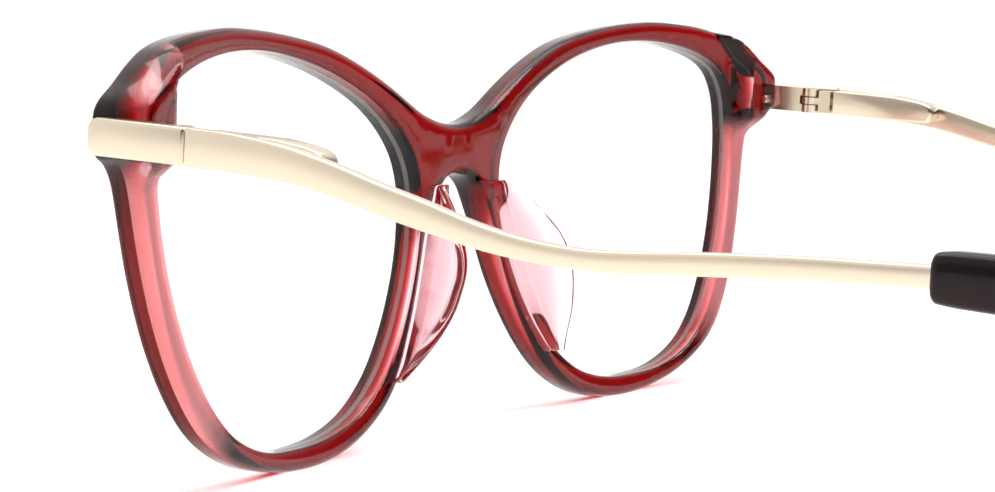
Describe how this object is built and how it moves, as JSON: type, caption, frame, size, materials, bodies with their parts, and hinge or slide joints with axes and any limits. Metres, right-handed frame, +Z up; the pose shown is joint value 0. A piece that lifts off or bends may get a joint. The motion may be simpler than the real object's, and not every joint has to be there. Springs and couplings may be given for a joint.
{
  "type": "eyeglasses",
  "caption": "Laminated translucent acetate eyeglass front with clear lenses, moulded nose pads and slim wavy metal temples on spring hinges with dark plastic tips.",
  "frame": {"origin": "centre of the bounding box on the table the glasses stand on", "axes": "+Z up, the front faces -Y, the temples run towards +Y, +X is the wearer's left"},
  "size_m": [0.1436, 0.1438, 0.0487],
  "materials": {
    "front_burgundy": "polished",
    "back_pink": "polished",
    "pad_clear": "polished",
    "lens_clear": "polished",
    "champagne_gold": "satin",
    "steel": "satin",
    "tip_burgundy": "polished"
  },
  "bodies": {
    "front": {"front_layer": "front_burgundy", "back_layer": "back_pink", "left_lens": "lens_clear", "left_nose_pad": "pad_clear", "left_endpiece_plate": "champagne_gold", "left_front_hinge": "champagne_gold", "left_endpiece_screw": "steel", "right_lens": "lens_clear", "right_nose_pad": "pad_clear", "right_endpiece_plate": "champagne_gold", "right_front_hinge": "champagne_gold", "right_endpiece_screw": "steel"},
    "left_hinge_pin": {"left_hinge_screw": "steel"},
    "left_slider": {"left_hinge_slider": "champagne_gold", "left_spring_stop": "steel"},
    "left_temple": {"left_spring_box": "champagne_gold", "left_hinge_spring": "steel", "left_temple_arm": "champagne_gold", "left_temple_tip": "tip_burgundy"},
    "right_hinge_pin": {"right_hinge_screw": "steel"},
    "right_slider": {"right_hinge_slider": "champagne_gold", "right_spring_stop": "steel"},
    "right_temple": {"right_spring_box": "champagne_gold", "right_hinge_spring": "steel", "right_temple_arm": "champagne_gold", "right_temple_tip": "tip_burgundy"}
  },
  "joints": [
    {"name": "left_flex", "type": "hinge", "parent": "front", "child": "left_hinge_pin", "pos_m": [0.0676, -0.05486, 0.03767], "axis": [0, -0.0698, -0.9976], "range_deg": [0, 2], "stiffness_Nm_per_rad": 0.3, "springref_deg": -2.86},
    {"name": "left_fold", "type": "hinge", "parent": "left_hinge_pin", "child": "left_slider", "pos_m": [0.0676, -0.05486, 0.03767], "axis": [0, 0.0698, 0.9976], "range_deg": [0, 92.6]},
    {"name": "left_slide", "type": "slide", "parent": "left_slider", "child": "left_temple", "axis": [0, 0.9976, -0.0698], "range_m": [0, 0.0002], "stiffness_N_per_m": 500, "springref_m": -0.0003},
    {"name": "right_flex", "type": "hinge", "parent": "front", "child": "right_hinge_pin", "pos_m": [-0.0676, -0.05486, 0.03767], "axis": [0, 0.0698, 0.9976], "range_deg": [0, 2], "stiffness_Nm_per_rad": 0.3, "springref_deg": -2.86},
    {"name": "right_fold", "type": "hinge", "parent": "right_hinge_pin", "child": "right_slider", "pos_m": [-0.0676, -0.05486, 0.03767], "axis": [0, -0.0698, -0.9976], "range_deg": [0, 84.5]},
    {"name": "right_slide", "type": "slide", "parent": "right_slider", "child": "right_temple", "axis": [0, 0.9976, -0.0698], "range_m": [0, 0.0002], "stiffness_N_per_m": 500, "springref_m": -0.0003}
  ]
}
